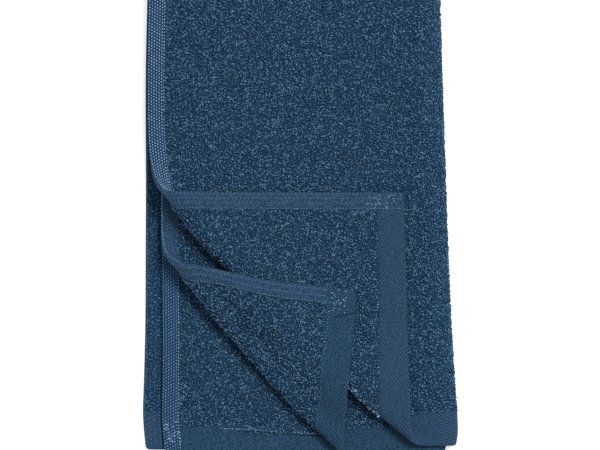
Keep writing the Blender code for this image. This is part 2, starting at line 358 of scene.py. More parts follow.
def crease(turn, x, y):
    """Where a place lies on a turned corner's own axes, with the two radii of its roll."""
    ex, ey = direction(turn.heading)
    back = (x - turn.corner_x) * ex + (y - turn.corner_y) * ey
    beside = (x - turn.corner_x) * ey - (y - turn.corner_y) * ex
    share = 0.5 + beside / turn.landing
    rising = curve(turn.rolls, "rising", share)
    returning = curve(turn.rolls, "returning", share)
    arc = math.pi / 2 * (rising + returning)
    start = (turn.landing + rising - returning + arc) / 2
    return back, beside, rising, returning, start


def flap_height(beyond, rising, returning, rest):
    """A flap leaves its roll at the roll's full height and settles on what lies below it."""
    top = rising + returning
    return top + (rest - top) * eased(beyond / SETTLE)


def turn_back(turn, x, y, up, height):
    """Rolls a corner up and back over its layer. height() says how high its flap then lies."""
    back, beside, rising, returning, start = crease(turn, x, y)
    past = start - back
    first = np.clip(past / rising, 0.0, math.pi / 2)
    second = np.clip((past - math.pi / 2 * rising) / returning, 0.0, math.pi / 2)
    beyond = np.maximum(past - math.pi / 2 * (rising + returning), 0.0)
    angle = first + second
    rolled = start - rising * np.sin(first) + returning * (1.0 - np.cos(second)) + beyond
    rolled = np.where(past > 0.0, rolled, back) + up * np.sin(angle)
    lift = rising * (1.0 - np.cos(first)) + returning * np.sin(second)
    ex, ey = direction(turn.heading)
    new_x = turn.corner_x + rolled * ex + beside * ey
    new_y = turn.corner_y + rolled * ey - beside * ex
    laid = height(new_x, new_y, beyond, rising, returning)
    lift = np.where(beyond > 0.0, laid, lift)
    slipped = eased(beyond / SETTLE)
    new_x, new_y = new_x + turn.slip_x * slipped, new_y + turn.slip_y * slipped
    return new_x, new_y, lift + up * np.cos(angle)


def on_upper_layer(x, y, beyond, rising, returning):
    """The upper flap lies on the upper layer."""
    return flap_height(beyond, rising, returning, PITCH)


def over_upper_flap(x, y, beyond, rising, returning):
    """The second flap climbs over the upper roll and lies on the upper flap."""
    back, _, first_rising, first_returning, start = crease(UPPER_TURN, x, y)
    past_roll = back - (start - first_rising + first_returning)
    upper_flap = flap_height(past_roll, first_rising, first_returning, PITCH)
    top = rising + returning
    silhouette = first_returning + TERRY / 2
    climb = eased((past_roll + silhouette + RUN_UP) / RUN_UP) * eased(beyond / EASE_IN)
    return top + (upper_flap + 2.0 * PITCH - top) * climb


def top_layers(across, along):
    """Which places are in the upper layer, and which in the second one."""
    top = across < -SIDE_ARC
    return top & (along < OUTER_LENGTH), top & (along > FOLD_END)


def folded(across, along, up):
    """Carries points of the flat sheet to their places on the folded towel."""
    y, level = fold_crosswise(along, up)
    x, z = fold_lengthwise(across, level)
    upper, second = top_layers(across, along)
    back, _, _, _, start = crease(UPPER_TURN, x, y)
    near_edge = np.clip(1.0 - x / OVERHANG, 0.0, 1.0) ** 2
    free = eased((back - start) / SETTLE) * eased((OUTER_LENGTH - y) / DROOP_FADE)
    droop = np.where(upper, DROOP * near_edge * free, 0.0)
    layers = (
        (upper, UPPER_TURN, UPPER_LAYER, on_upper_layer, UPPER_PULL),
        (second, SECOND_TURN, SECOND_LAYER, over_upper_flap, SECOND_PULL),
    )
    for here, turn, layer, height, pull in layers:
        turned = turn_back(turn, x[here], y[here], z[here] - layer, height)
        away = ((turned[0] - pull.x) ** 2 + (turned[1] - pull.y) ** 2) / pull.reach**2
        pulled = np.exp(-away)
        x[here], y[here] = turned[0] + pull.right * pulled, turned[1] + pull.far * pulled
        z[here] = turned[2] + layer
    lowest = (across > SIDE_ARC) & (along < OUTER_LENGTH)
    out = eased(across / EDGES[0].under) * np.clip(1.0 - y / CORNER_REACH_FADE, 0.0, 1.0)
    y = y - np.where(lowest, CORNER_REACH * out, 0.0)
    z = z - droop - (TERRY - thickness(across, along)) / 2
    share = np.clip(x / FOLDED_WIDTH, 0.0, 1.0)
    left = curve(OUTLINE, "left", y) * (1.0 - share)
    right = (curve(OUTLINE, "right", y) - FOLDED_WIDTH) * share**WIDENING
    return np.stack((x + left + right, y, z * curve(OUTLINE, "sink", y)), 1)


def rows_along():
    """The cuts across the sheet, close together at its ends and where it folds crosswise."""
    near = END_HEM + HEM_FOOT
    far = LENGTH - near
    hem = np.linspace(EDGE_ROUND, END_HEM, 5)[1:-1]
    outer = np.linspace(near, OUTER_LENGTH, round((OUTER_LENGTH - near) / BODY_STEP) + 1)
    arc = np.linspace(OUTER_LENGTH, FOLD_END, CROSS_STEPS + 1)[1:]
    inner = np.linspace(FOLD_END, far, round((far - FOLD_END) / BODY_STEP) + 1)[1:]
    start = [*EDGE_CUTS, *hem, END_HEM]
    return [*start, *outer, *arc, *inner, *(LENGTH - np.array(start[::-1]))]


def beside_hems(across, along):
    """Where a cut of the sheet lies at one place, moved with the end hem beside it."""
    moved = along
    for column, from_end, way in (("outer", along, 1.0), ("inner", LENGTH - along, -1.0)):
        wider = float(curve(HEM_WIDTHS, column, np.array([across]))[0]) - END_HEM
        beyond = max(from_end - END_HEM - HEM_STEP, 0.0)
        share = min(from_end / END_HEM, 1.0) * max(1.0 - beyond / HEM_BLEND, 0.0)
        moved += way * wider * share
    return moved


def columns_across(along):
    """The cuts along the sheet at one row, close together at its edges and its side fold."""
    halves = []
    for side in ("upper", "under"):
        edge = float(curve(EDGES, side, np.array([along]))[0])
        body = edge - SIDE_HEM - HEM_FOOT
        count = round((EDGES[0].under - SIDE_HEM - SIDE_ARC) / BODY_STEP)
        hem = edge - np.array([SIDE_HEM, SIDE_HEM / 2, *EDGE_CUTS[::-1]])
        halves.append([*np.linspace(SIDE_ARC, body, count + 1), *hem])
    bend = np.linspace(-SIDE_ARC, SIDE_ARC, SIDE_STEPS + 1)[1:-1]
    return [-distance for distance in reversed(halves[0])] + [*bend] + halves[1]


def crease_distances(turn):
    """How far from the corner the sheet is cut along the roll of a crease."""
    middle = turn.rolls[len(turn.rolls) // 2]
    arc = math.pi / 2 * (middle.rising + middle.returning)
    start = (turn.landing + middle.rising - middle.returning + arc) / 2
    first = turn.rolls[0]
    reach = math.pi / 4 * (first.rising + first.returning) - arc / 2 + ROLL_END_STEP
    tight = [*np.linspace(start - arc, start, round(arc / ROLL_STEP) + 1)]
    outside = np.arange(ROLL_END_STEP, reach, ROLL_END_STEP)
    return tight + [start + step for step in outside] + [start - arc - step for step in outside]


def cut_creases(flat, turn, shift_x, turn_y, inside):
    """Cuts the flat sheet along one turned corner's creases, in the layer that inside names."""
    ex, ey = direction(turn.heading)
    way_y = -1.0 if turn_y else 1.0
    for distance in crease_distances(turn):
        x = turn.corner_x + distance * ex - shift_x
        y = turn.corner_y + distance * ey
        faces = [face for face in flat.faces if inside(face.calc_center_median())]
        edges = {edge for face in faces for edge in face.edges}
        points = {point for face in faces for point in face.verts}
        bmesh.ops.bisect_plane(
            flat,
            geom=[*points, *edges, *faces],
            dist=SNAP,
            plane_co=(x, turn_y - y if turn_y else y, 0.0),
            plane_no=(ex, way_y * ey, 0.0),
        )


def flat_sheet():
    """The flat sheet as triangles, cut where it folds: its points and its faces."""
    flat = bmesh.new()
    grid = []
    for along in rows_along():
        row = [(across, beside_hems(across, along), 0.0) for across in columns_across(along)]
        grid.append([flat.verts.new(place) for place in row])
    for near, far in zip(grid, grid[1:]):
        for column in range(len(near) - 1):
            flat.faces.new((near[column], near[column + 1], far[column + 1], far[column]))
    shift_x = SIDE_AXIS + SIDE_ARC
    halves = (
        (UPPER_TURN, 0.0, lambda at: at.x < -SIDE_ARC and at.y < OUTER_LENGTH),
        (SECOND_TURN, OUTER_LENGTH + FOLD_END, lambda at: at.x < -SIDE_ARC and at.y > FOLD_END),
    )
    for turn, turn_y, inside in halves:
        cut_creases(flat, turn, shift_x, turn_y, inside)
    bmesh.ops.triangulate(flat, faces=flat.faces[:])
    flat.verts.index_update()
    places = np.array([point.co[:2] for point in flat.verts])
    faces = np.array([[point.index for point in face.verts] for face in flat.faces])
    rim = []
    for face in flat.faces:
        for loop in face.loops:
            if loop.edge.is_boundary:
                rim.append((loop.vert.index, loop.link_loop_next.vert.index))
    flat.free()
    return places, faces, rim


def solid_shift(places):
    """What part.py takes off every point to set its solid in the middle of the frame."""
    across, along = places[:, 0], places[:, 1]
    half = thickness(across, along) / 2
    points = np.concatenate((folded(across, along, half), folded(across, along, -half)))
    low, high = points.min(axis=0), points.max(axis=0)
    box_low, box_high = (np.array(corner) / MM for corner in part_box("towel"))
    middle = (low + high) / 2 - (box_low + box_high) / 2
    return np.array((middle[0], middle[1], low[2] - box_low[2]))


def rounded_corners(across, along):
    """Places of the flat sheet, drawn in so that its corners are round."""
    side, end = from_edges(across, along)
    round_to = np.where(along < LENGTH / 2, OUTER_CORNERS, INNER_CORNERS)
    u = np.clip(1.0 - side / round_to, 0.0, 1.0)
    v = np.clip(1.0 - end / round_to, 0.0, 1.0)
    inward_side = round_to * u * (1.0 - np.sqrt(1.0 - v * v / 2.0))
    inward_end = round_to * v * (1.0 - np.sqrt(1.0 - u * u / 2.0))
    across = across - np.sign(across) * inward_side
    return across, along + np.where(along < LENGTH / 2, inward_end, -inward_end)


def creased(points, across, along):
    """The rise of the pressed creases at folded points, for the parts that lie on top."""
    y, level = fold_crosswise(along, 0.0)
    x, z = fold_lengthwise(across, level)
    upper, second = top_layers(across, along)
    rise = np.zeros(len(points))
    for turn, layer, name in ((UPPER_TURN, upper, "upper"), (SECOND_TURN, second, "second")):
        back, _, rising, returning, start = crease(turn, x, y)
        past = start - back
        beyond = past - math.pi / 2 * (rising + returning)
        flap = layer * eased(beyond / CREASE_EASE)
        flat = layer * eased(-past / CREASE_EASE)
        for part, share in ((name + "_flap", flap), (name + "_layer", flat)):
            rise += share * pressed(part, points)
    inner = (across > SIDE_ARC) & (along > FOLD_END)
    return rise + inner * pressed("inner_layer", points)


def pressed(part, points):
    """The rise of one part's creases at folded points."""
    rise = np.zeros(len(points))
    for row in CREASES:
        if row.part == part:
            ex, ey = direction(row.heading)
            x, y = points[:, 0] - row.x, points[:, 1] - row.y
            u, v = (x * ex + y * ey) / row.length, (y * ex - x * ey) / row.width
            rise += row.rise * np.exp(-u * u - v * v)
    return rise


PLACES, FACES, RIM = flat_sheet()
SHIFT = solid_shift(PLACES)


def laid(across, along, up):
    """Points of the flat sheet on the folded towel, in metres in the shared frame."""
    across, along = rounded_corners(across, along)
    points = folded(across, along, up)
    points[:, 2] += creased(points, across, along)
    return (points - SHIFT) * MM


def linear(hex_colour):
    """An sRGB hex colour as linear red, green, blue and alpha."""
    channels = [int(hex_colour[place : place + 2], 16) / 255 for place in (0, 2, 4)]
    values = [c / 12.92 if c <= 0.04045 else ((c + 0.055) / 1.055) ** 2.4 for c in channels]
    return (*values, 1.0)


def add(tree, kind, inputs=None, **settings):
    """Adds a node with its settings. An input is a value or the socket that feeds it."""
    node = tree.nodes.new(kind)
    for name, value in settings.items():
        setattr(node, name, value)
    for name, value in (inputs or {}).items():
        if isinstance(value, bpy.types.NodeSocket):
            tree.links.new(value, node.inputs[name])
        else:
            node.inputs[name].default_value = value
    return node


def reckoned(tree, operation, *values, **settings):
    """What a Math node makes of values or sockets."""
    inputs = dict(enumerate(values))
    return add(tree, "ShaderNodeMath", inputs, operation=operation, **settings).outputs[0]


def mapped(tree, value, from_range, to_range):
    """A value carried from one range over to another, and held within that."""
    ends = zip(("From Min", "From Max", "To Min", "To Max"), (*from_range, *to_range))
    return add(tree, "ShaderNodeMapRange", {"Value": value, **dict(ends)}).outputs["Result"]


def vector(tree, **parts):
    """A vector of the parts that are named, with the others zero."""
    return add(tree, "ShaderNodeCombineXYZ", parts).outputs["Vector"]


def drawn(tree, least, most, seed):
    """A number drawn for each point or yarn, between two values or sockets."""
    inputs = {2: least, 3: most, "Seed": seed}
    return add(tree, "FunctionNodeRandomValue", inputs, data_type="FLOAT").outputs[1]


def new_material(name):
    """An empty material, its tree and its shader."""
    material = bpy.data.materials.new(name)
    material.use_nodes = True
    return material, material.node_tree, material.node_tree.nodes["Principled BSDF"]


def finish_cotton(shader, roughness):
    """Cotton hardly shines; its loose fibres catch a little light at a low angle."""
    shader.inputs["Roughness"].default_value = roughness
    shader.inputs["Metallic"].default_value = 0.0
    shader.inputs["Specular IOR Level"].default_value = 0.05
    shader.inputs["Sheen Weight"].default_value = 0.02
    shader.inputs["Sheen Roughness"].default_value = 0.6


def speckled(tree, share, amount):
    """A share from 0 to 1 that is lower and higher from one fibre bundle to the next."""
    place = add(tree, "ShaderNodeTexCoord").outputs["Object"]
    noise = {"Vector": place, "Scale": 1.0 / (GRAIN * MM), "Detail": 1.0}
    fibres = add(tree, "ShaderNodeTexNoise", noise).outputs["Fac"]
    shift = mapped(tree, fibres, NOISE_RANGE, (-amount, amount))
    return reckoned(tree, "ADD", share, shift, use_clamp=True)


def between(tree, share, hex_colours):
    """A colour from the first to the last of some evenly spaced ones, by a share from 0 to 1."""
    ramp = add(tree, "ShaderNodeValToRGB", {"Fac": share})
    stops = ramp.color_ramp.elements
    while len(stops) < len(hex_colours):
        stops.new(0.5)
    for index, hex_colour in enumerate(hex_colours):
        stops[index].position = index / (len(hex_colours) - 1)
        stops[index].color = linear(hex_colour)
    return ramp.outputs["Color"]


def pile_yarn():
    """Ring-spun cotton pile yarn, dyed blue: matt, each loop a little lighter or darker at random,
    with painted shade that darkens it towards its roots."""
    material, tree, shader = new_material("cotton_pile_yarn")
    tone = add(tree, "ShaderNodeAttribute", attribute_name="tone").outputs["Fac"]
    painted_shade_along_loop = add(tree, "ShaderNodeAttribute", attribute_name="painted_shade_along_loop").outputs["Fac"]
    dye = mapped(tree, tone, (0.0, 1.0), (0.3, 0.9))
    # Each loop's random tone, times the painted shade along it that is darkest at its roots, picks
    # its colour
    share = speckled(tree, reckoned(tree, "MULTIPLY", dye, painted_shade_along_loop), 0.45)
    colour = between(tree, share, ("05213A", "3A5D7B", "6A8FAF"))
    tree.links.new(colour, shader.inputs["Base Color"])
    finish_cotton(shader, 0.9)
    return material


def ground_painted_in_shade():
    """The woven ground that carries the loops, seen only between them: the dyed cotton, painted
    darker than the loops as the shade that falls between them.
    """
    material, tree, shader = new_material("terry_ground_painted_shade")
    # Painted shade: the ground's colours are darker than the pile yarn's, for the shade between
    # the loops
    colour = between(tree, speckled(tree, 0.5, 0.5), ("04203A", "24425D"))
    tree.links.new(colour, shader.inputs["Base Color"])
    finish_cotton(shader, 0.95)
    return material


def hem_weave(name, dark, light, across_pitch, along_pitch, grain):
    """Plain woven hem: flat and smooth, with its crossing threads just showing, and uneven."""
    material, tree, shader = new_material(name)
    flat = add(tree, "ShaderNodeUVMap", uv_map="flat_mm").outputs["UV"]
    split = add(tree, "ShaderNodeSeparateXYZ", {"Vector": flat})
    threads = []
    for axis, pitch in (("X", across_pitch), ("Y", along_pitch)):
        turn = reckoned(tree, "MULTIPLY", split.outputs[axis], 2.0 * math.pi / pitch)
        threads.append(reckoned(tree, "SINE", turn))
    noise = {"Vector": flat, "Scale": 0.9, "Detail": 4.0, "Roughness": 0.7}
    uneven = add(tree, "ShaderNodeTexNoise", noise).outputs["Fac"]
    lumpy = reckoned(tree, "MULTIPLY", uneven, 3.0)
    height = reckoned(tree, "ADD", reckoned(tree, "MULTIPLY", *threads), lumpy)
    share = speckled(tree, mapped(tree, height, (0.4, 2.7), (0.0, 1.0)), grain)
    relief = {"Height": height, "Strength": 0.6, "Distance": 0.00015}
    bump = add(tree, "ShaderNodeBump", relief)
    tree.links.new(between(tree, share, (dark, light)), shader.inputs["Base Color"])
    tree.links.new(bump.outputs["Normal"], shader.inputs["Normal"])
    finish_cotton(shader, 0.85)
    return material


def smooth_yarn_and_shade_line(name, colour):
    """Smooth mercerised cotton, floating or sewn: a little smoother than the cloth. Made near
    black, the same material is painted shade in grooves.
    """
    material, tree, shader = new_material(name)
    shader.inputs["Base Color"].default_value = linear(colour)
    finish_cotton(shader, 0.6)
    return material


PILE_COTTON = pile_yarn()
SHADE_PAINTED_GROUND = ground_painted_in_shade()
PLAIN_HEM = hem_weave("plain_woven_hem", "142D44", "334C66", 1.9, 1.45, 0.4)
INNER_HEM = hem_weave("plain_woven_inner_hem", "0B283E", "304B63", 1.9, 1.45, 0.6)
SIDE_BACK = hem_weave("back_of_side_hem", "122B43", "37516C", 1.21, 1.44, 0.7)
# The dyed cotton ground between the side hems' raised floats, painted darker in part as the shade
# between them
FLOAT_GROUND = hem_weave("ground_between_floats", "0B2641", "264766", 1.21, 1.44, 0.4)
FLOAT_YARN = smooth_yarn_and_shade_line("cotton_float", "88A5C4")
DULL_FLOAT = smooth_yarn_and_shade_line("duller_cotton_float", "6888A8")
STITCH_YARN = smooth_yarn_and_shade_line("sewing_cotton", "86A0BC")
BACK_STITCH = smooth_yarn_and_shade_line("sewing_cotton_from_behind", "55738F")
# Near-black beads that are painted shade: dark lines in the grooves at hem borders and along a
# corner block
GROOVE_SHADE_BEADS = smooth_yarn_and_shade_line("near_black_groove_shade", "081E34")


def link(data, name):
    """A piece, lamp or camera at the origin, unturned and unscaled."""
    piece = bpy.data.objects.new(name, data)
    bpy.context.collection.objects.link(piece)
    return piece


def towel_cloth():
    """The woven cloth as one thin closed sheet in its folds."""
    across, along = PLACES[:, 0], PLACES[:, 1]
    half = cloth_thickness(across, along) / 2
    points = np.concatenate((laid(across, along, half), laid(across, along, -half)))
    count = len(PLACES)
    under = FACES[:, ::-1] + count
    rim = []
    for start, end in RIM:
        rim += [(end, start, start + count), (end, start + count, end + count)]
    faces = np.concatenate((FACES, under, np.array(rim)))
    mesh = bpy.data.meshes.new("towel_cloth")
    mesh.from_pydata(points.tolist(), [], faces.tolist())
    flat = np.concatenate((PLACES, PLACES))
    uv = mesh.uv_layers.new(name="flat_mm")
    uv.uv.foreach_set("vector", flat[faces.ravel()].ravel())
    across, along = flat[faces].mean(axis=1).T
    side = from_edges(across, along)[0]
    past_end = past_end_hem(across, along) > 0.0
    outer_face = np.arange(len(faces)) < len(FACES)
    inner_ply = along > MIDWAY
    strip = ~outer_face & (across > 0.0) & (along < OUTER_LENGTH) & past_end
    # Faces whose ground is painted dark as the shade between the loops
    terry = past_end & ((side > SIDE_HEM) | (strip & (side > STRIP_MARGIN)))
    # Faces whose ground is painted darker, partly as the shade between the raised floats
    floats = outer_face & (side <= SIDE_HEM) & ~(inner_ply & (across < 0.0))
    parts = (
        (SHADE_PAINTED_GROUND, terry),
        (FLOAT_GROUND, floats),
        (SIDE_BACK, past_end & (side <= SIDE_HEM)),
        (INNER_HEM, inner_ply),
        (PLAIN_HEM, ~inner_ply),
    )
    slots = np.full(len(faces), len(parts))
    for slot, (material, here) in enumerate(parts):
        mesh.materials.append(material)
        slots = np.where(here, np.minimum(slots, slot), slots)
    mesh.polygons.foreach_set("material_index", slots.astype(np.int32))
    mesh.shade_smooth()
    mesh.update()
    return link(mesh, "towel_cloth")


def open_shares(cloth):
    """How much of the sky each face of either side of the sheet sees past the cloth itself."""
    mesh = cloth.data
    points = np.empty(len(mesh.vertices) * 3)
    mesh.vertices.foreach_get("co", points)
    tree = BVHTree.FromPolygons(
        points.reshape(-1, 3).tolist(), [tuple(face.vertices) for face in mesh.polygons]
    )
    golden = math.pi * (3.0 - math.sqrt(5.0))
    rays = []
    for ray in range(SKY_RAYS):
        height = LOWEST_RAY + RAY_SPREAD * ray / (SKY_RAYS - 1)
        flat = math.sqrt(1.0 - height * height)
        rays.append((flat * math.cos(golden * ray), flat * math.sin(golden * ray), height))
    shares = np.zeros(2 * len(FACES))
    for index in range(2 * len(FACES)):
        face = mesh.polygons[index]
        normal = face.normal
        first = normal.orthogonal().normalized()
        second = normal.cross(first)
        start = face.center + normal * RAY_START * MM
        free = 0
        for x, y, z in rays:
            way = first * x + second * y + normal * z
            if tree.ray_cast(start, way, RAY_REACH)[0] is None:
                free += 1
        shares[index] = free / len(rays)
    return shares


def yarn_source(name, across, along, faces, outer_face, run_across):
    """Faces or lone points on one face of the sheet, with the way that their yarn runs."""
    half = cloth_thickness(across, along) / 2
    up = half if outer_face else -half
    points = laid(across, along, up)
    aside, onward = (NUDGE, 0.0) if run_across else (0.0, NUDGE)
    way = laid(across + aside, along + onward, up) - laid(across - aside, along - onward, up)
    carried = {"lay": way}
    if not faces:
        carried["outward"] = points - laid(across, along, up * 0.5)
    mesh = bpy.data.meshes.new(name)
    mesh.from_pydata(points.tolist(), [], faces)
    for label, vectors in carried.items():
        vectors = vectors / np.linalg.norm(vectors, axis=1)[:, None]
        stored_on = mesh.attributes.new(label, "FLOAT_VECTOR", "POINT")
        stored_on.data.foreach_set("vector", vectors.ravel())
    return bpy.data.objects.new(name + "_source", mesh)


def pile_patch(name, chosen, outer_face):
    """The part of one face of the sheet that grows loops."""
    faces = FACES[chosen] if outer_face else FACES[chosen][:, ::-1]
    used, faces = np.unique(faces, return_inverse=True)
    across, along = PLACES[used].T
    return yarn_source(name, across, along, faces.reshape(-1, 3).tolist(), outer_face, True)


def geometry_tree(name, sizes):
    """An empty Geometry Nodes tree with its named inputs, its input node and its output."""
    tree = bpy.data.node_groups.new(name, "GeometryNodeTree")
    face = tree.interface
    face.new_socket("Geometry", in_out="INPUT", socket_type="NodeSocketGeometry")
    for label, value in sizes.items():
        kind = "NodeSocketInt" if isinstance(value, int) else "NodeSocketFloat"
        face.new_socket(label, in_out="INPUT", socket_type=kind).default_value = value
    face.new_socket("Yarn", in_out="INPUT", socket_type="NodeSocketMaterial")
    face.new_socket("Geometry", in_out="OUTPUT", socket_type="NodeSocketGeometry")
    return tree, add(tree, "NodeGroupInput").outputs, add(tree, "NodeGroupOutput")


def named(tree, name):
    """A direction that the source carries at each point."""
    node = add(tree, "GeometryNodeInputNamedAttribute", {"Name": name}, data_type="FLOAT_VECTOR")
    return node.outputs["Attribute"]


def standing(tree, outward, lay):
    """The rotation that stands a yarn's Z axis outward and lays its X axis along its run."""
    axes = {"primary_axis": "Z", "secondary_axis": "X"}
    node = add(tree, "FunctionNodeAxesToRotation", {0: outward, 1: lay}, **axes)
    return node.outputs["Rotation"]


def stored(tree, geometry, domain, name, value):
    """The same geometry with a number stored on it, which its material reads."""
    inputs = {"Geometry": geometry, "Name": name, "Value": value}
    settings = {"data_type": "FLOAT", "domain": domain}
    node = add(tree, "GeometryNodeStoreNamedAttribute", inputs, **settings)
    return node.outputs["Geometry"]


def placed(tree, points, mesh, rotation, scale):
    """One copy of a mesh on each point."""
    inputs = {"Points": points, "Instance": mesh, "Rotation": rotation, "Scale": scale}
    return add(tree, "GeometryNodeInstanceOnPoints", inputs).outputs["Instances"]


def hand_out(tree, copies, yarn, out):
    """Makes copies into one real mesh, in its yarn, and hands it out of the tree."""
    real = add(tree, "GeometryNodeRealizeInstances", {"Geometry": copies}).outputs["Geometry"]
    dressed = add(tree, "GeometryNodeSetMaterial", {"Geometry": real, "Material": yarn})
    tree.links.new(dressed.outputs["Geometry"], out.inputs["Geometry"])


PILE_SIZES = {
    "Spacing": LOOP_SPACING * MM,
    "Loop Width": LOOP_WIDTH * MM,
    "Loop Height": LOOP_HEIGHT * MM,
    "Yarn Thickness": PILE_YARN * MM,
    "Least Lean": 0.3,
    "Most Lean": 1.1,
    "Scatter": 0.7,
    "Swirl": 14.0,
    "Swirl Scale": 160.0,
    "Bends": LOOP_BENDS,
    "Seed": 1,
}
BEAD_SIZES = {"Length": 0.9 * MM, "Thickness": 0.5 * MM, "Height": 0.3 * MM, "Seed": 1}


def pile_tree():
    """Loops of yarn that stand and lean all over a patch of cloth."""
    tree, given, out = geometry_tree("terry_pile", PILE_SIZES)
    sown = {
        "Mesh": given["Geometry"],
        "Distance Min": given["Spacing"],
        "Density Max": MOST_LOOPS,
        "Seed": given["Seed"],
    }
    points = add(tree, "GeometryNodeDistributePointsOnFaces", sown, distribute_method="POISSON")
    back = reckoned(tree, "MULTIPLY", given["Scatter"], -1.0)
    stray = drawn(tree, back, given["Scatter"], 11)
    place = add(tree, "GeometryNodeInputPosition").outputs["Position"]
    noise = {"Vector": place, "Scale": given["Swirl Scale"], "Detail": 0.0}
    swirl = add(tree, "ShaderNodeTexNoise", noise).outputs["Fac"]
    swing = reckoned(tree, "MULTIPLY_ADD", swirl, given["Swirl"], stray)
    lean = drawn(tree, given["Least Lean"], given["Most Lean"], 12)
    turned = standing(tree, points.outputs["Normal"], named(tree, "lay"))
    for turn in (vector(tree, Z=swing), vector(tree, X=lean)):
        inputs = {"Rotation": turned, "Rotate By": turn}
        node = add(tree, "FunctionNodeRotateRotation", inputs, rotation_space="LOCAL")
        turned = node.outputs["Rotation"]
    arch = {
        "Resolution": given["Bends"],
        "Start": vector(tree, X=reckoned(tree, "MULTIPLY", given["Loop Width"], -0.5)),
        "Middle": vector(tree, Z=reckoned(tree, "MULTIPLY", given["Loop Height"], 2.0)),
        "End": vector(tree, X=reckoned(tree, "MULTIPLY", given["Loop Width"], 0.5)),
    }
    curve_of_loop = add(tree, "GeometryNodeCurveQuadraticBezier", arch).outputs["Curve"]
    # Painted shade along each loop: 0 at its roots, where the yarn is darkest, up to 1 at its
    # crown
    along_yarn = add(tree, "GeometryNodeSplineParameter").outputs["Factor"]
    painted_shade_along_loop = reckoned(tree, "SINE", reckoned(tree, "MULTIPLY", along_yarn, math.pi))
    radius = reckoned(tree, "MULTIPLY", given["Yarn Thickness"], 0.5)
    section = add(tree, "GeometryNodeCurvePrimitiveCircle", {"Resolution": 3, "Radius": radius})
    swept = {
        "Curve": stored(tree, curve_of_loop, "POINT", "painted_shade_along_loop", painted_shade_along_loop),
        "Profile Curve": section.outputs["Curve"],
    }
    loop = add(tree, "GeometryNodeCurveToMesh", swept).outputs["Mesh"]
    size = drawn(tree, 0.75, 1.2, 13)
    loops = placed(tree, points.outputs["Points"], loop, turned, size)
    toned = stored(tree, loops, "INSTANCE", "tone", drawn(tree, 0.0, 1.0, 14))
    hand_out(tree, toned, given["Yarn"], out)
    return tree


def bead_tree():
    """Short rounded stretches of yarn, one on each point, along the way that it runs."""
    tree, given, out = geometry_tree("yarn_beads", BEAD_SIZES)
    upright = standing(tree, named(tree, "outward"), named(tree, "lay"))
    bead = add(tree, "GeometryNodeMeshUVSphere", {"Segments": 5, "Rings": 3, "Radius": 0.5})
    size = vector(tree, X=given["Length"], Y=given["Thickness"], Z=given["Height"])
    varied = {0: size, "Scale": drawn(tree, 0.8, 1.15, given["Seed"])}
    scale = add(tree, "ShaderNodeVectorMath", varied, operation="SCALE").outputs["Vector"]
    beads = placed(tree, given["Geometry"], bead.outputs["Mesh"], upright, scale)
    hand_out(tree, beads, given["Yarn"], out)
    return tree


def grown(source, tree, values, name):
    """Runs a tree on a source and keeps what it makes as a plain mesh piece."""
    source.data.materials.append(values["Yarn"])
    modifier = source.modifiers.new(name, "NODES")
    modifier.node_group = tree
    for socket in tree.interface.items_tree:
        if socket.in_out == "INPUT" and socket.name in values:
            modifier[socket.identifier] = values[socket.name]
    bpy.context.collection.objects.link(source)
    bpy.context.view_layer.update()
    seen = source.evaluated_get(bpy.context.evaluated_depsgraph_get())
    mesh = bpy.data.meshes.new_from_object(seen)
    mesh.name = name
    source.modifiers.remove(modifier)
    bpy.data.objects.remove(source)
    mesh.shade_smooth()
    return link(mesh, name)


CLOTH = towel_cloth()
OPEN = open_shares(CLOTH)

# Which faces of the flat sheet lie where, by their middles, and which can grow loops
ACROSS, ALONG = PLACES[FACES].mean(axis=1).T
FROM_SIDE = from_edges(ACROSS, ALONG)[0]
PAST_END = past_end_hem(ACROSS, ALONG)
TOP_HALF = ACROSS < 0.0
OUTER_PLY = ALONG < MIDWAY
NEAR_HALF = ALONG < OUTER_LENGTH / 2
ON_FOLD = np.abs(ACROSS) < SIDE_ARC + FOLD_MARGIN
TO_SEAM = (ACROSS > SEAM_FROM) & (ACROSS < SEAM_TO) & (ALONG > MIDWAY)
IN_PILE = (FROM_SIDE > SIDE_HEM) & (PAST_END > np.where(TO_SEAM, -SEAM_REACH, 0.0))
OUTER_OPEN = IN_PILE & (OPEN[: len(FACES)] > LEAST_OPEN)
INNER_OPEN = IN_PILE & (OPEN[len(FACES) :] > LEAST_OPEN)
SIDE_FOLD = OUTER_OPEN & ON_FOLD
OUTER_OPEN &= ~ON_FOLD
STRIP = (FROM_SIDE > STRIP_MARGIN) & (FROM_SIDE < SIDE_HEM + HEM_FOOT) & ~TOP_HALF
STRIP &= (PAST_END > 0.0) & (ALONG < OUTER_LENGTH)

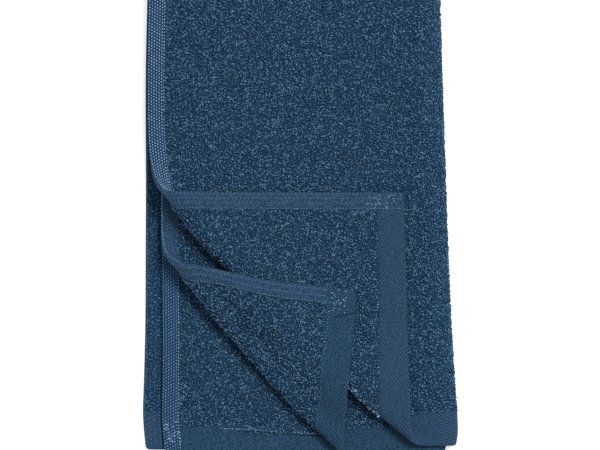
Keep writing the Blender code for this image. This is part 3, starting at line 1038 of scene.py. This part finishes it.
# The pile by parts of the cloth: which faces of which side, and the loops' own sizes
PilePatch = namedtuple(
    "PilePatch",
    "name faces seed outer_face spacing width height scatter",
    defaults=(True, LOOP_SPACING, LOOP_WIDTH, LOOP_HEIGHT, PILE_SIZES["Scatter"]),
)
PILES = (
    PilePatch("upper_near_pile", OUTER_OPEN & TOP_HALF & OUTER_PLY & NEAR_HALF, seed=1),
    PilePatch("upper_far_pile", OUTER_OPEN & TOP_HALF & OUTER_PLY & ~NEAR_HALF, seed=2),
    PilePatch("side_fold_pile", SIDE_FOLD, seed=9, height=0.65, scatter=0.5),
    PilePatch(
        "upper_flap_pile", INNER_OPEN & TOP_HALF & OUTER_PLY, seed=3, outer_face=False, scatter=0.5
    ),
    PilePatch("second_flap_pile", OUTER_OPEN & TOP_HALF & ~OUTER_PLY, seed=4, scatter=0.5),
    PilePatch("second_layer_pile", INNER_OPEN & TOP_HALF & ~OUTER_PLY, seed=5, outer_face=False),
    PilePatch("inner_pile", OUTER_OPEN & ~TOP_HALF & ~OUTER_PLY, seed=6),
    PilePatch(
        "left_strip_pile",
        STRIP,
        seed=8,
        outer_face=False,
        spacing=1.05,
        width=0.95,
        height=0.75,
        scatter=1.2,
    ),
    PilePatch(
        "under_pile",
        OUTER_OPEN & ~TOP_HALF & OUTER_PLY,
        seed=7,
        spacing=UNDERSIDE_SPACING,
        height=PRESSED_HEIGHT,
    ),
)

pieces = [CLOTH]
PILE_TREE = pile_tree()
for pile in PILES:
    patch = pile_patch(pile.name, pile.faces, pile.outer_face)
    values = {
        **PILE_SIZES,
        "Spacing": pile.spacing * MM,
        "Loop Width": pile.width * MM,
        "Loop Height": pile.height * MM,
        "Scatter": pile.scatter,
        "Seed": pile.seed,
        "Yarn": PILE_COTTON,
    }
    pieces.append(grown(patch, PILE_TREE, values, pile.name))


def side_rows(insets, start, stop, sides, pitch=FLOAT_PITCH, shift=FLOAT_SHIFT):
    """Places in rows along the side edges, each row a little further on than the last."""
    across, along = [], []
    for side in sides:
        for row, inset in enumerate(insets):
            steps = np.arange(start + pitch * (row * shift % 1.0), stop, pitch)
            across += list(side * (side_edge(np.full(len(steps), side), steps) - inset))
            along += list(steps)
    return np.array(across), np.array(along)


def stitch_row(inset, start, stop, sides):
    """Places of one row of stitches, so far in from the side hem's border."""
    return side_rows((SIDE_HEM - inset,), start, stop, sides, pitch=STITCH_PITCH)


def tack(across, along, half_across, half_along, count, seed):
    """Places scattered over a small sewn-down corner."""
    random = np.random.default_rng(seed)
    aside = random.uniform(-1.0, 1.0, count) * half_across
    onward = random.uniform(-1.0, 1.0, count) * half_along
    return across + aside, along + onward


def seam(start, end, pitch, stray=0.0):
    """Places in a row on the flat sheet from one place to another, which may stray from it."""
    count = round(math.dist(start, end) / pitch) + 1
    aside = np.random.default_rng(count).uniform(-stray, stray, (2, count))
    return np.linspace(start, end, count).T + aside


# The yarns that show on the hems, and near-black beads that are painted shade in grooves: where
# they lie, what they are, and the length, thickness and height of one. They lie on the sheet's
# outer face and run along it, unless a row says not.
BeadRows = namedtuple(
    "BeadRows", "name places yarn size seed outer_face run_across", defaults=(True, False)
)
BEADS = (
    BeadRows(
        "outer_side_floats",
        side_rows(FLOAT_ROWS, FIRST_FLOAT, MIDWAY, UPPER_SIDE),
        FLOAT_YARN,
        size=(0.95, 0.62, 0.4),
        seed=21,
    ),
    BeadRows(
        "pressed_side_floats",
        side_rows(FLOAT_ROWS, FIRST_FLOAT, MIDWAY, UNDER_SIDE),
        FLOAT_YARN,
        size=(0.95, 0.62, 0.12),
        seed=43,
    ),
    BeadRows(
        "inner_side_floats",
        side_rows(FLOAT_ROWS, MIDWAY, LENGTH - FIRST_FLOAT, UNDER_SIDE),
        DULL_FLOAT,
        size=(0.9, 0.6, 0.35),
        seed=23,
    ),
    BeadRows(
        "second_flap_floats",
        side_rows((1.4, 4.3), MIDWAY, LENGTH - CORNER_BLOCK - 0.5, UPPER_SIDE),
        BACK_STITCH,
        size=(0.9, 0.5, 0.25),
        seed=29,
    ),
    # Painted shade: a row of near-black beads in the furrow along the second flap's side hem
    # border
    BeadRows(
        "second_flap_furrow_shade",
        side_rows((SIDE_HEM + 0.1,), MIDWAY, LENGTH - CORNER_BLOCK, UPPER_SIDE, pitch=0.9),
        GROOVE_SHADE_BEADS,
        size=(1.2, 0.7, 1.2),
        seed=38,
    ),
    BeadRows(
        "second_flap_stitches",
        stitch_row(0.9, MIDWAY, LENGTH - CORNER_BLOCK, UPPER_SIDE),
        BACK_STITCH,
        size=(1.1, 0.5, 0.4),
        seed=36,
    ),
    BeadRows(
        "inner_stitches",
        stitch_row(0.5, MIDWAY, LENGTH - FIRST_STITCH, UNDER_SIDE),
        STITCH_YARN,
        size=(1.1, 0.6, 0.5),
        seed=37,
    ),
    BeadRows(
        "outer_stitches",
        stitch_row(0.5, FIRST_STITCH, MIDWAY, UPPER_SIDE),
        STITCH_YARN,
        size=(1.1, 0.6, 0.5),
        seed=22,
    ),
    BeadRows(
        "back_stitches",
        stitch_row(0.5, FIRST_STITCH, LENGTH - FIRST_STITCH, BOTH_SIDES),
        BACK_STITCH,
        size=(1.0, 0.5, 0.4),
        seed=24,
        outer_face=False,
    ),
    BeadRows(
        "back_edge_floats",
        side_rows((0.8, 2.9, 5.0), FIRST_STITCH, LENGTH - FIRST_STITCH, BOTH_SIDES, 1.9, 0.45),
        BACK_STITCH,
        size=(0.8, 0.5, 0.25),
        seed=25,
        outer_face=False,
    ),
    BeadRows(
        "second_layer_edge_floats",
        side_rows((0.45,), MIDWAY, LENGTH - UNDER_FLAP, UPPER_SIDE),
        DULL_FLOAT,
        size=(0.95, 0.6, 0.4),
        seed=40,
        outer_face=False,
    ),
    BeadRows(
        "inner_corner_tack",
        tack(122.6, 445.6, 3.8, 6.0, count=36, seed=42),
        FLOAT_YARN,
        size=(0.75, 0.6, 0.5),
        seed=41,
    ),
    BeadRows(
        "upper_corner_tack",
        tack(-130.5, 9.0, 3.2, 8.0, count=34, seed=31),
        FLOAT_YARN,
        size=(0.6, 0.45, 0.35),
        seed=26,
        outer_face=False,
    ),
    BeadRows(
        "second_corner_tack",
        tack(-121.4, 448.6, 5.4, 3.8, count=26, seed=32),
        FLOAT_YARN,
        size=(0.75, 0.6, 0.5),
        seed=27,
    ),
    # Painted shade: a near-black line along the second flap's corner block
    BeadRows(
        "second_corner_shade_line",
        seam((-116.75, 456.8), (-113.8, 447.6), pitch=0.7),
        GROOVE_SHADE_BEADS,
        size=(1.0, 0.6, 0.3),
        seed=28,
    ),
    BeadRows(
        "second_flap_seam",
        seam((-115.5, 444.9), (-56.0, 444.7), pitch=1.5, stray=0.3),
        BACK_STITCH,
        size=(1.0, 0.5, 0.4),
        seed=30,
        run_across=True,
    ),
    BeadRows(
        "inner_end_seam",
        seam((100.0, 442.8), (50.0, 445.9), pitch=1.35, stray=0.25),
        DULL_FLOAT,
        size=(1.25, 0.6, 0.7),
        seed=33,
        run_across=True,
    ),
    BeadRows(
        "upper_end_seam",
        seam((-38.0, 15.2), (4.0, 16.3), pitch=1.4, stray=0.2),
        BACK_STITCH,
        size=(1.1, 0.5, 0.4),
        seed=39,
        run_across=True,
    ),
    # Painted shade: a row of near-black beads in the furrow along the inner end hem's border
    BeadRows(
        "inner_end_furrow_shade",
        seam((92.0, 444.2), (50.0, 446.9), pitch=0.9, stray=0.15),
        GROOVE_SHADE_BEADS,
        size=(1.25, 0.75, 0.3),
        seed=34,
        run_across=True,
    ),
    BeadRows(
        "loose_loops",
        seam((-45.0, 24.5), (-31.0, 12.6), pitch=1.3, stray=1.1),
        FLOAT_YARN,
        size=(1.2, 0.6, 2.9),
        seed=35,
        outer_face=False,
    ),
)

BEAD_TREE = bead_tree()
for beads in BEADS:
    points = yarn_source(beads.name, *beads.places, [], beads.outer_face, beads.run_across)
    values = dict(zip(("Length", "Thickness", "Height"), (part * MM for part in beads.size)))
    values.update(Seed=beads.seed, Yarn=beads.yarn)
    pieces.append(grown(points, BEAD_TREE, values, beads.name))

for piece in pieces:
    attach(piece, "root")
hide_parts("towel")


def pale_floor():
    """A wide matt surface under the towel."""
    half = 3.0
    mesh = bpy.data.meshes.new("pale_floor")
    mesh.from_pydata(
        [(-half, -half, 0.0), (half, -half, 0.0), (half, half, 0.0), (-half, half, 0.0)],
        [],
        [(0, 1, 2, 3)],
    )
    material, tree, shader = new_material("matt_white_paint")
    shader.inputs["Base Color"].default_value = linear("F4F4F4")
    shader.inputs["Emission Color"].default_value = linear("FFFFFF")
    shader.inputs["Emission Strength"].default_value = 0.5
    shader.inputs["Roughness"].default_value = 0.9
    mesh.materials.append(material)
    floor = link(mesh, "pale_floor")


def soft_light():
    """Soft light from all round, and a stronger soft light from the far right."""
    world = bpy.data.worlds.new("soft_daylight")
    bpy.context.scene.world = world
    world.use_nodes = True
    sky = world.node_tree.nodes["Background"]
    sky.inputs["Color"].default_value = (0.96, 0.98, 1.0, 1.0)
    sky.inputs["Strength"].default_value = 0.6
    lamp = bpy.data.lights.new("window_light", "SUN")
    lamp.energy = 2.9
    lamp.angle = math.radians(20.0)
    lamp.color = (1.0, 0.98, 0.95)
    way = Vector((0.36, 0.42, 1.0))
    link(lamp, "window_light").rotation_euler = way.to_track_quat("Z", "Y").to_euler()


def straight_above():
    """The photograph looks straight down on the folded towel."""
    lens = bpy.data.cameras.new("camera")
    lens.sensor_width = SENSOR
    lens.lens = SENSOR * CAMERA_DISTANCE / FRAME_WIDTH
    lens.clip_end = 20.0
    camera = link(lens, "camera")
    camera.location = Vector((*VIEW_CENTRE, VIEW_HEIGHT + CAMERA_DISTANCE)) * MM
    bpy.context.scene.camera = camera


pale_floor()
soft_light()
straight_above()
bpy.context.scene.view_settings.view_transform = "Standard"
